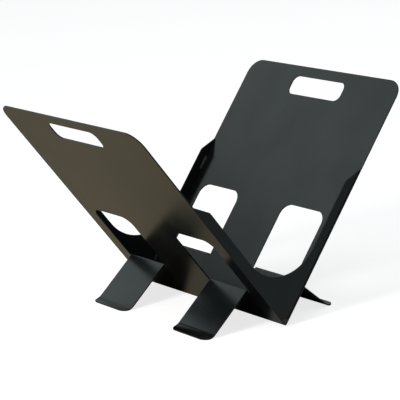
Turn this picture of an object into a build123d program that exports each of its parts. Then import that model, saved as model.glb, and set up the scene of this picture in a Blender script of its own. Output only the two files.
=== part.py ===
# Folded steel log holder: a V-shaped trough on four feet, with a carrying slot in each side.
# Millimetres. X runs across the V, Y along the ridge with the front at -Y, Z up from the floor.
# The origin is on the floor, under the middle of the ridge.

from build123d import *
from math import cos, radians, sin, tan
import os

# Sheet and folds
sheet = 2.0  # thickness of the folded body
bend_radius = 1.0  # inside radius of the ridge and of the foot folds

# The V
depth = 350.0  # front edge to rear edge
panel_length = 403.5  # up the slope, from the ridge's sharp outer corner to the top edge
half_angle = 37.2  # each panel's lean from the vertical, degrees
ridge_clearance = 2.5  # air under the ridge
top_corner = 25.0  # radius of the panels' upper corners

# Carrying slots
slot_length = 120.0
slot_height = 32.0  # up the slope
slot_corner = 11.5
slot_below_top = 17.0  # top edge of the panel to the slot

# Feet, cut out of the panels and folded outwards
foot_width = 85.0
foot_from_end = 32.0  # foot's side to the nearer edge of the panel
foot_root = 72.5  # up the slope, to the fold
foot_angle = 40.6  # below the horizontal, degrees
foot_corner = 13.0  # radius of the tip's corners
foot_gap = 5.5  # width of the cut around the foot
toe_length = 13.0  # from the toe's sharp corner to the tip
toe_bend = 18.0  # radius of the toe's upper face
window_notch = 1.5  # radius of the window's lower corners

# End plates, set in from the edges of the V
plate_sheet = 2.0
plate_recess = 1.0
limb_width = 15.5  # of the arms that run up the panels
limb_top = 257.0  # up the slope, where an arm's slanted end meets the panel
limb_slant = 28.0  # length of the slanted end, along the panel
limb_corner = 8.0  # radius where the slanted end begins
throat_radius = 72.0  # of the round bottom of the cut-out
tip_gap = 7.0  # from the sharp inner corner of the V up to the plate's flat tip

# Welds between the plates and the panels
weld_leg = 3.0
weld_length = 25.0
weld_count = 3  # on each side of a plate
weld_first = 45.0  # up the slope, to the middle of the lowest weld
weld_below_limb = 45.0  # top of the arm to the middle of the highest weld

# Worked out from the sizes above
lean = radians(half_angle)
drop = radians(foot_angle)
outer_bend = bend_radius + sheet
ridge_z = ridge_clearance - outer_bend * (1 / sin(lean) - 1)  # height of the sharp outer corner
inner_ridge_z = ridge_z + sheet / sin(lean)
foot_y = depth / 2 - foot_from_end - foot_width / 2


def on_panel(along, inward, side=1):
    """The point of the cross-section that lies this far up the slope and in from the outer face."""
    x = along * sin(lean) - inward * cos(lean)
    return (side * x, ridge_z + along * cos(lean) + inward * sin(lean))


# The foot's upper face runs from the fold down to the flat toe
root_x, root_z = on_panel(foot_root, sheet)
toe_x = root_x + (root_z - sheet) / tan(drop)
foot_run = (root_z - sheet) / sin(drop)
fold_angle = 90 + foot_angle - half_angle
fold_tangent = outer_bend * tan(radians(fold_angle) / 2)
window_base = foot_root - fold_tangent
window_top = foot_root + foot_run + toe_length + foot_gap
window_width = foot_width + 2 * foot_gap

# The outer faces of the two panels, each with its own X along the ridge and its own Y up the slope
panel_planes = [
    Plane(origin=(0, 0, ridge_z), x_dir=(0, side, 0), z_dir=(side * cos(lean), 0, -sin(lean)))
    for side in (1, -1)
]

# One foot on the +X side, with a stub that lies in the panel below the fold
with BuildPart() as foot:
    with BuildSketch(Plane.XZ):
        with BuildLine():
            FilletPolyline(
                on_panel(window_base - sheet, sheet),
                (root_x, root_z),
                (toe_x, sheet),
                (toe_x + toe_length, sheet),
                radius=(outer_bend, toe_bend),
            )
            offset(amount=sheet, side=Side.RIGHT)
        make_face()
    extrude(amount=foot_width / 2, both=True)
    with BuildSketch(Plane.XY):
        with Locations((toe_x + toe_length, 0)):
            Rectangle(toe_x + toe_length, foot_width, align=(Align.MAX, Align.CENTER))
        fillet(vertices().group_by(Axis.X)[-1], foot_corner)
    extrude(amount=root_z + sheet, mode=Mode.INTERSECT)

# The body: one sheet folded along the ridge, with its slots, windows and feet
with BuildPart() as folded_body:
    with BuildSketch(Plane.XZ):
        with BuildLine():
            FilletPolyline(
                on_panel(panel_length, 0, -1), (0, ridge_z), on_panel(panel_length, 0), radius=outer_bend
            )
            offset(amount=sheet, side=Side.LEFT)
        make_face()
    extrude(amount=depth / 2, both=True)
    fillet(edges().filter_by(GeomType.LINE).group_by(SortBy.LENGTH)[0], top_corner)
    with BuildSketch(*panel_planes):
        with Locations((0, panel_length - slot_below_top - slot_height / 2)):
            RectangleRounded(slot_length, slot_height, slot_corner)
    extrude(amount=-2 * sheet, mode=Mode.SUBTRACT)
    with BuildSketch(*panel_planes):
        with Locations((-foot_y, window_base), (foot_y, window_base)):
            Rectangle(window_width, window_top - window_base, align=(Align.CENTER, Align.MIN))
        fillet(vertices().group_by(Axis.Y)[-1], foot_corner + foot_gap)
        fillet(vertices().group_by(Axis.Y)[0], window_notch)
    extrude(amount=-2 * sheet, mode=Mode.SUBTRACT)
    with Locations(*[Location((0, y, 0), (0, 0, turn)) for y in (-foot_y, foot_y) for turn in (0, 180)]):
        add(foot.part)

# The front end plate: a V with a deep round cut-out, welded between the panels
throat_z = inner_ridge_z + (limb_width + throat_radius) / sin(lean)
throat_start = (throat_radius * cos(lean), throat_z - throat_radius * sin(lean))
tip_z = inner_ridge_z + tip_gap
tip_x = tip_gap * tan(lean)
shoulder = on_panel(limb_top - limb_slant, sheet + limb_width)
limb_end = on_panel(limb_top, sheet)
plate_half = [throat_start, shoulder, limb_end, (tip_x, tip_z)]
with BuildPart() as front_end_plate:
    with BuildSketch(Plane.XZ.offset(depth / 2 - plate_recess)):
        with BuildLine():
            Polyline(*plate_half, *[(-x, z) for x, z in reversed(plate_half)])
            CenterArc((0, throat_z), throat_radius, -half_angle, -(180 - 2 * half_angle))
        make_face()
        fillet(vertices().group_by(Axis.Y)[-2], limb_corner)
    extrude(amount=-plate_sheet)

# Its welds: short fillets behind the plate, along the inner face of each panel
weld_pitch = (limb_top - weld_below_limb - weld_first) / (weld_count - 1)
weld_y = -depth / 2 + plate_recess + plate_sheet
slope = (sin(lean), 0, cos(lean))
with BuildPart() as front_plate_welds:
    for n in range(weld_count):
        weld_x, weld_z = on_panel(weld_first + n * weld_pitch, sheet)
        with BuildSketch(Plane(origin=(weld_x, weld_y, weld_z), x_dir=(0, 1, 0), z_dir=slope)):
            with BuildLine():
                Polyline((0, weld_leg), (0, 0), (weld_leg, 0))
                ThreePointArc((weld_leg, 0), (0.6 * weld_leg, 0.6 * weld_leg), (0, weld_leg))
            make_face()
        extrude(amount=weld_length / 2, both=True)
    mirror(about=Plane.YZ)

# The rear plate and its welds are the front ones, turned half a turn about the upright axis
half_turn = Location((0, 0, 0), (0, 0, 180))
with BuildPart() as rear_end_plate:
    with Locations(half_turn):
        add(front_end_plate.part)
with BuildPart() as rear_plate_welds:
    with Locations(half_turn):
        add(front_plate_welds.part)

os.makedirs("parts", exist_ok=True)
for name, piece in (
    ("folded_body", folded_body),
    ("front_end_plate", front_end_plate),
    ("rear_end_plate", rear_end_plate),
    ("front_plate_welds", front_plate_welds),
    ("rear_plate_welds", rear_plate_welds),
):
    piece.part.label = name
    export_step(piece.part, f"parts/{name}.step")
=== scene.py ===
import math

import bmesh
import bpy
import numpy as np
from mathutils import Matrix, Vector


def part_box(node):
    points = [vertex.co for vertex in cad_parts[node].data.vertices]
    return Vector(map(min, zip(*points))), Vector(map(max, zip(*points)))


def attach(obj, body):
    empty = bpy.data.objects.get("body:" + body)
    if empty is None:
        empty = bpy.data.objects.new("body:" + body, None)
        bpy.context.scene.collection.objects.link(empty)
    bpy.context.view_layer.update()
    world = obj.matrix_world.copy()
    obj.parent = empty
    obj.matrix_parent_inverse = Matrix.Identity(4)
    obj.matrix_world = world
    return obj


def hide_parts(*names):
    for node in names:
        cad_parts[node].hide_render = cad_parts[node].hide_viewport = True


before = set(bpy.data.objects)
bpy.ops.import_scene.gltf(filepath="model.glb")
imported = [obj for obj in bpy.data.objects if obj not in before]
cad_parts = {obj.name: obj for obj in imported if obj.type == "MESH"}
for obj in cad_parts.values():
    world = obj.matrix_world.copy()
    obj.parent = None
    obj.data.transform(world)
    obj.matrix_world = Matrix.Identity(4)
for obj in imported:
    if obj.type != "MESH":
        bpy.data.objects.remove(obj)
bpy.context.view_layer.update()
print("frame loaded:", sorted(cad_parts))


# Camera, from the lines of the photograph: metres, degrees and pixels of the 400 pixel frame
camera = {
    "azimuth": -36.604,
    "elevation": 13.658,
    "roll": -2.963,
    "distance": 2.7691,
    "focalPixels": 1854.0,
    "framePixels": 400,
    "sensor": 36.0,  # millimetres
    "aim": (0.0, 0.0, 0.175),
    "asideFromAim": -0.00886,
    "aboveAim": -0.01432,
    "clip": (0.05, 60.0),
}


def placeCamera(c):
    # back points from the object to the camera; aside and above span the picture, turned by the roll
    azimuth, elevation, roll = (math.radians(c[k]) for k in ("azimuth", "elevation", "roll"))
    back = Vector((
        math.sin(azimuth) * math.cos(elevation),
        -math.cos(azimuth) * math.cos(elevation),
        math.sin(elevation),
    ))
    level = Vector((0, 0, 1)).cross(back).normalized()
    upright = back.cross(level)
    aside = level * math.cos(roll) + upright * math.sin(roll)
    above = upright * math.cos(roll) - level * math.sin(roll)
    data = bpy.data.cameras.new("viewCamera")
    data.sensor_width = c["sensor"]
    data.lens = c["sensor"] * c["focalPixels"] / c["framePixels"]
    data.clip_start, data.clip_end = c["clip"]
    obj = bpy.data.objects.new("viewCamera", data)
    bpy.context.scene.collection.objects.link(obj)
    place = (
        Vector(c["aim"]) + aside * c["asideFromAim"] + above * c["aboveAim"] + back * c["distance"]
    )
    turn = Matrix((aside, above, back)).transposed().to_4x4()
    obj.matrix_world = Matrix.Translation(place) @ turn
    bpy.context.scene.camera = obj


placeCamera(camera)
print("camera placed")


# A number socket that can stand in an expression: each operator adds a Math node
class Value:
    def __init__(self, shader, socket):
        self.shader, self.socket = shader, socket

    def combine(self, operation, *others, clamp=False):
        inputs = {i: getattr(v, "socket", v) for i, v in enumerate(others)}
        settings = {"operation": operation, "use_clamp": clamp}
        made = self.shader.node("ShaderNodeMath", settings, inputs)
        return Value(self.shader, made.outputs[0])

    def __add__(self, other):
        return self.combine("ADD", self, other)

    def __sub__(self, other):
        return self.combine("SUBTRACT", self, other)

    def __rsub__(self, other):
        return self.combine("SUBTRACT", other, self)

    def __mul__(self, other):
        return self.combine("MULTIPLY", self, other)

    __radd__ = __add__
    __rmul__ = __mul__

    # held between 0 and 1
    def within(self):
        return self.combine("ADD", self, 0.0, clamp=True)

    # 0 below low, 1 above high, smooth between
    def ramp(self, low, high):
        made = self.shader.node(
            "ShaderNodeMapRange",
            {"interpolation_type": "SMOOTHSTEP"},
            {"Value": self.socket, "From Min": low, "From Max": high, "To Min": 0.0, "To Max": 1.0},
        )
        return Value(self.shader, made.outputs["Result"])


# The node tree of one material or world, emptied, with one way to add a node
class Shader:
    def __init__(self, owner):
        owner.use_nodes = True
        self.tree = owner.node_tree
        self.tree.nodes.clear()

    def node(self, kind, settings=None, sockets=None):
        made = self.tree.nodes.new(kind)
        for name, value in (settings or {}).items():
            setattr(made, name, value)
        for name, value in (sockets or {}).items():
            value = getattr(value, "socket", value)
            if isinstance(value, bpy.types.NodeSocket):
                self.tree.links.new(value, made.inputs[name])
            else:
                made.inputs[name].default_value = value
        return made

    def value(self, socket):
        return Value(self, socket)

    def noise(self, place, scale, detail, roughness=0.5):
        made = self.node(
            "ShaderNodeTexNoise",
            {"noise_dimensions": "3D"},
            {"Vector": place, "Scale": scale, "Detail": detail, "Roughness": roughness},
        )
        return self.value(made.outputs["Fac"])

    def blend(self, factor, first, second):
        made = self.node("ShaderNodeMix", {"data_type": "RGBA"}, {0: factor})
        for index, colour in ((6, first), (7, second)):  # the node's two colour sockets
            if isinstance(colour, bpy.types.NodeSocket):
                self.tree.links.new(colour, made.inputs[index])
            else:
                made.inputs[index].default_value = (*colour, 1.0)
        return made.outputs[2]


# Satin black powder coat: a fine orange peel, faint clouds in the gloss, dull rubbed edges and
# fine scuffs. Each noise has its scale per metre, its detail and the range that becomes 0 to 1.
coat = {
    "colour": (0.0028, 0.0035, 0.0038),
    "cloud": (0.0040, 0.0048, 0.0051),
    "rubbed": (0.020, 0.021, 0.021),
    "specular": 0.5,
    "roughness": 0.2,
    "cloudRoughness": 0.05,
    "grainRoughness": 0.05,
    "scuffRoughness": 0.12,
    "edgeRoughness": 0.2,
    "rubSmoothing": 0.08,
    "peelPerMetre": 520.0,
    "peelDetail": 1.5,
    "peelDepth": 0.00002,
    "peelStrength": 0.35,
    "grainPerMetre": 2600.0,
    "grainDetail": 0.0,
    "grainHeight": 0.2,
    "cloudsPerMetre": 11.0,
    "cloudDetail": 3.0,
    "cloudRange": (0.35, 0.7),
    "rubsPerMetre": 60.0,
    "rubDetail": 3.0,
    "rubRange": (0.42, 0.62),
    "rubWeight": 0.6,
    "scuffsPerMetre": 9.0,
    "scuffDetail": 4.0,
    "scuffBreakup": 0.65,
    "scuffStretch": (30.0, 3.0, 30.0),
    "scuffRange": (0.62, 0.74),
    "scuffWeight": 0.35,
    "upwardRange": (0.3, 0.55),
}
weldFinish = {**coat, "roughness": 0.42, "peelPerMetre": 900.0}


def powderCoat(name, c, scuffs):
    material = bpy.data.materials.new(name)
    s = Shader(material)
    place = s.node("ShaderNodeTexCoord").outputs["Object"]
    peel = s.noise(place, c["peelPerMetre"], c["peelDetail"])
    grain = s.noise(place, c["grainPerMetre"], c["grainDetail"])
    clouds = s.noise(place, c["cloudsPerMetre"], c["cloudDetail"]).ramp(*c["cloudRange"])
    # the rounded cut edges are duller than the faces, and rubbed in patches
    edge = s.value(s.node("ShaderNodeAttribute", {"attribute_name": "edge"}).outputs["Fac"])
    rub = edge * s.noise(place, c["rubsPerMetre"], c["rubDetail"]).ramp(*c["rubRange"])
    # scuffs are long thin marks along the ridge, only on faces that look upwards
    mapping = s.node("ShaderNodeMapping", None, {"Vector": place, "Scale": c["scuffStretch"]})
    stretched = mapping.outputs[0]
    normal = s.node("ShaderNodeNewGeometry").outputs["Normal"]
    facing = s.node("ShaderNodeSeparateXYZ", None, {0: normal})
    upward = s.value(facing.outputs["Z"]).ramp(*c["upwardRange"])
    marks = s.noise(stretched, c["scuffsPerMetre"], c["scuffDetail"], c["scuffBreakup"])
    marks = marks.ramp(*c["scuffRange"]) * upward * scuffs
    colour = s.blend(clouds, c["colour"], c["cloud"])
    worn = (rub * c["rubWeight"] + marks * c["scuffWeight"]).within()
    colour = s.blend(worn, colour, c["rubbed"])
    # a noise lies about 0.5, so grain - 0.5 makes the gloss rise and fall by the same amount
    roughness = c["roughness"] + clouds * c["cloudRoughness"] + (grain - 0.5) * c["grainRoughness"]
    roughness = roughness + marks * c["scuffRoughness"]
    roughness = roughness + edge * c["edgeRoughness"] - rub * c["rubSmoothing"]
    bump = s.node("ShaderNodeBump", None, {
        "Strength": c["peelStrength"],
        "Distance": c["peelDepth"],
        "Height": peel + grain * c["grainHeight"],
    })
    surface = s.node("ShaderNodeBsdfPrincipled", None, {
        "Base Color": colour,
        "Roughness": roughness,
        "Specular IOR Level": c["specular"],
        "Normal": bump.outputs[0],
    })
    s.node("ShaderNodeOutputMaterial", None, {"Surface": surface.outputs[0]})
    return material


bodyCoat = powderCoat("bodyCoat", coat, scuffs=0.5)
plateCoat = powderCoat("plateCoat", coat, scuffs=0.15)
weldCoat = powderCoat("weldCoat", weldFinish, scuffs=0.0)
print("finishes made")


# Rounded edges of the cut sheet: metres, and degrees between two faces
edges = {
    "round": 0.0008,
    "segments": 4,
    "profile": 0.5,  # a quarter round
    "sharperThan": 38.0,  # a cut edge, and not a facet of a fold
    "flatterThan": 0.6,  # triangles of one flat face
    "mergeWithin": 2e-6,
    "faceWeight": 80,  # how far the large faces hold the shading flat
}


def sheetPiece(name, node, material, e):
    # The node's faces, merged and freed of their triangles, with each cut edge rolled to a small
    # quarter round that carries the mark "edge" for the finish
    mesh = bpy.data.meshes.new(name)
    bm = bmesh.new()
    bm.from_mesh(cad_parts[node].data)
    mark = bm.faces.layers.float.new("edge")
    bmesh.ops.remove_doubles(bm, verts=bm.verts, dist=e["mergeWithin"])
    bmesh.ops.dissolve_limit(
        bm, angle_limit=math.radians(e["flatterThan"]), verts=bm.verts, edges=bm.edges
    )
    cut = [
        edge for edge in bm.edges
        if len(edge.link_faces) == 2 and edge.calc_face_angle() > math.radians(e["sharperThan"])
    ]
    rolled = bmesh.ops.bevel(
        bm, geom=cut, offset=e["round"], segments=e["segments"], profile=e["profile"],
        affect="EDGES", clamp_overlap=True,
    )["faces"]
    for face in rolled:
        face[mark] = 1.0
    for face in bm.faces:
        face.smooth = True
    bm.to_mesh(mesh)
    bm.free()
    obj = bpy.data.objects.new(name, mesh)
    bpy.context.scene.collection.objects.link(obj)
    mesh.materials.append(material)
    obj.modifiers.new("evened", "WEIGHTED_NORMAL").weight = e["faceWeight"]
    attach(obj, "root")
    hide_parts(node)


sheetPiece("foldedBody", "folded_body", bodyCoat, edges)
sheetPiece("frontEndPlate", "front_end_plate", plateCoat, edges)
sheetPiece("rearEndPlate", "rear_end_plate", plateCoat, edges)
print("sheet pieces made")


# Weld beads in the corner between an end plate and a panel: metres, with first and last up the
# slope from the ridge's sharp outer corner to the middle of a bead
beads = {
    "halfAngle": 37.2,  # each panel's lean from the vertical, degrees
    "ridgeHeight": 0.00054,
    "sheet": 0.002,
    "first": 0.045,
    "last": 0.212,
    "count": 3,
    "length": 0.025,
    "leg": 0.003,
    "legShare": 0.15,  # of the section's loop, for each of its two straight legs
    "roundness": 0.86,
    "flattening": 0.1,
    "endPower": 6,
    "ripplePitch": 0.0021,
    "rippleDepth": 0.09,
    "rippleBow": 0.0008,
    "alongSteps": 72,
    "aroundSteps": 20,
    "mergeWithin": 1e-6,
}


def beadMesh(b, side, end, along, plateFace):
    # t runs along the bead and a round its section. The section is a closed loop: a quarter round
    # that bulges to the legs' ends, and the two legs back to the corner. Its size falls to nothing
    # at both ends as a root of 1 - t^endPower, and swells by a cosine whose crests bow forward in
    # the middle, as a drawn bead's ripples do.
    lean = math.radians(b["halfAngle"])
    slope = np.array([side * math.sin(lean), 0, math.cos(lean)])
    inward = np.array([-side * math.cos(lean), 0, math.sin(lean)])
    away = np.array([0, -end, 0])
    corner = slope * along + inward * b["sheet"] + np.array([0, plateFace, b["ridgeHeight"]])
    t = np.linspace(-1, 1, b["alongSteps"])[:, None]
    a = np.linspace(0, 1, b["aroundSteps"], endpoint=False)[None, :]
    leg = b["legShare"]
    turn = np.clip((a - leg) / (1 - 2 * leg), 0, 1) * math.pi / 2
    reach = np.clip(a / leg, 0, 1) * np.clip((1 - a) / leg, 0, 1)
    taper = np.sqrt(np.clip(1 - t ** b["endPower"], 0, 1))
    travel = t * b["length"] / 2
    crest = np.cos(2 * math.pi * (travel - b["rippleBow"] * np.sin(2 * turn)) / b["ripplePitch"])
    section = b["roundness"] + b["flattening"] * np.cos(4 * turn)
    radius = b["leg"] * reach * section * (1 + b["rippleDepth"] * crest) * taper
    points = (
        corner
        + slope * travel[..., None]
        + away * (radius * np.cos(turn))[..., None]
        + inward * (radius * np.sin(turn))[..., None]
    ).reshape(-1, 3)
    n, m = b["alongSteps"], b["aroundSteps"]
    i = np.arange(n - 1)[:, None]
    j = np.arange(m)[None, :]
    k = (j + 1) % m
    faces = np.stack([i * m + j, i * m + k, (i + 1) * m + k, (i + 1) * m + j], -1).reshape(-1, 4)
    return points, faces


def weldPiece(name, node, end, b):
    # The beads behind one plate, on both panels, as one mesh; end is -1 at the front, 1 at the rear
    lo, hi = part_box(node)
    plateFace = lo.y if end < 0 else hi.y
    allPoints, allFaces, start = [], [], 0
    for side in (-1, 1):
        for along in np.linspace(b["first"], b["last"], b["count"]):
            points, faces = beadMesh(b, side, end, along, plateFace)
            allPoints.append(points)
            allFaces.append(faces + start)
            start += len(points)
    mesh = bpy.data.meshes.new(name)
    mesh.from_pydata(np.concatenate(allPoints).tolist(), [], np.concatenate(allFaces).tolist())
    bm = bmesh.new()
    bm.from_mesh(mesh)
    bmesh.ops.remove_doubles(bm, verts=bm.verts, dist=b["mergeWithin"])
    bmesh.ops.recalc_face_normals(bm, faces=bm.faces)
    for face in bm.faces:
        face.smooth = True
    bm.to_mesh(mesh)
    bm.free()
    mesh.materials.append(weldCoat)
    obj = bpy.data.objects.new(name, mesh)
    bpy.context.scene.collection.objects.link(obj)
    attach(obj, "root")
    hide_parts(node)


weldPiece("frontPlateWelds", "front_plate_welds", -1, beads)
weldPiece("rearPlateWelds", "rear_plate_welds", 1, beads)
print("weld beads made")


# Pale studio: a plain floor that keeps the object's shadow, a white surround and two soft lamps.
# The pairs named Rise, Fall, Turn and Range are where a ramp begins and ends.
white = (1.0, 1.0, 1.0)
studio = {
    "floorHalf": 8.0,
    "floorColour": (0.44, 0.44, 0.44),
    "frontTone": (0.41, 0.445, 0.45),
    "rearTone": (0.52, 0.428, 0.293),
    "behindRange": (-0.3, 0.15),
    "cameraGlow": 0.78,
    "surround": (0.86, 1.0, 0.98),
    "surroundSide": 0.04,
    "surroundLight": 0.8,
    "overheadRise": (0.6, 0.9),
    "mirrorLow": 0.04,
    "mirrorBand": 1.38,
    "mirrorTop": 0.5,
    "bandRise": (0.45, 0.54),
    "bandFall": (0.50, 0.68),
    "mirrorRight": 0.34,
    "rightTurn": (-0.1, 0.35),
}
lamps = [
    {
        "name": "sideLamp",
        "place": (-2.6, -0.3, 1.1),
        "aim": (0.0, 0.0, 0.12),
        "size": 0.7,
        "watts": 70.0,
        "colour": (1.0, 0.98, 0.95),
    },
    {
        "name": "rimLamp",
        "place": (1.8, 1.6, 2.4),
        "aim": (0.0, 0.0, 0.12),
        "size": 1.6,
        "watts": 8.0,
        "colour": (0.94, 0.98, 1.0),
    },
]


def makeFloor(st):
    half = st["floorHalf"]
    mesh = bpy.data.meshes.new("floor")
    corners = [(-half, -half, 0), (half, -half, 0), (half, half, 0), (-half, half, 0)]
    mesh.from_pydata(corners, [], [(0, 1, 2, 3)])
    material = bpy.data.materials.new("floorPaint")
    s = Shader(material)
    ray = s.node("ShaderNodeLightPath").outputs
    seen = s.value(ray["Is Camera Ray"])
    clear = (seen + s.value(ray["Is Transmission Ray"])).within()
    glow = s.node("ShaderNodeEmission", None, {
        "Color": (*white, 1.0),
        "Strength": clear * st["cameraGlow"],
    })
    # what the coat mirrors is a little cooler in front of the object and warmer behind it
    texture = s.node("ShaderNodeTexCoord")
    place = s.node("ShaderNodeSeparateXYZ", None, {0: texture.outputs["Object"]})
    behind = s.value(place.outputs["Y"]).ramp(*st["behindRange"])
    tone = s.blend(behind, st["frontTone"], st["rearTone"])
    colour = s.blend(seen, tone, st["floorColour"])
    paint = s.node("ShaderNodeBsdfDiffuse", None, {"Color": colour})
    both = s.node("ShaderNodeAddShader", None, {0: glow.outputs[0], 1: paint.outputs[0]})
    s.node("ShaderNodeOutputMaterial", None, {"Surface": both.outputs[0]})
    mesh.materials.append(material)
    floor = bpy.data.objects.new("floor", mesh)
    bpy.context.scene.collection.objects.link(floor)


def makeSurround(st):
    world = bpy.data.worlds.new("surround")
    bpy.context.scene.world = world
    s = Shader(world)
    ray = s.node("ShaderNodeLightPath").outputs
    seen = s.value(ray["Is Camera Ray"])
    mirrored = (s.value(ray["Is Glossy Ray"]) + s.value(ray["Is Transmission Ray"])).within()
    # the light comes from overhead
    texture = s.node("ShaderNodeTexCoord")
    toward = s.node("ShaderNodeSeparateXYZ", None, {0: texture.outputs["Generated"]})
    rise = s.value(toward.outputs["Z"])
    overhead = rise.ramp(*st["overheadRise"])
    light = st["surroundSide"] + overhead * (st["surroundLight"] - st["surroundSide"])
    # mirrored, the surround is dark near the horizon, brightest half way up and even on the right
    mirror = st["mirrorLow"] + rise.ramp(*st["bandRise"]) * (st["mirrorBand"] - st["mirrorLow"])
    mirror = mirror - rise.ramp(*st["bandFall"]) * (st["mirrorBand"] - st["mirrorTop"])
    right = s.value(toward.outputs["X"]).ramp(*st["rightTurn"])
    mirror = mirror + right * (st["mirrorRight"] - mirror)
    # the camera sees plain white
    strength = light + seen * (1.0 - light) + mirrored * (mirror - light)
    colour = s.blend(seen, st["surround"], white)
    sky = s.node("ShaderNodeBackground", None, {"Color": colour, "Strength": strength})
    s.node("ShaderNodeOutputWorld", None, {"Surface": sky.outputs[0]})


def makeLamp(lamp):
    data = bpy.data.lights.new(lamp["name"], "AREA")
    data.shape, data.size = "DISK", lamp["size"]
    data.energy, data.color = lamp["watts"], lamp["colour"]
    obj = bpy.data.objects.new(lamp["name"], data)
    obj.location = lamp["place"]
    toward = Vector(lamp["aim"]) - obj.location
    obj.rotation_euler = toward.to_track_quat("-Z", "Y").to_euler()
    bpy.context.scene.collection.objects.link(obj)


makeFloor(studio)
makeSurround(studio)
for lamp in lamps:
    makeLamp(lamp)
bpy.context.scene.view_settings.view_transform = "Standard"
print("studio lit")
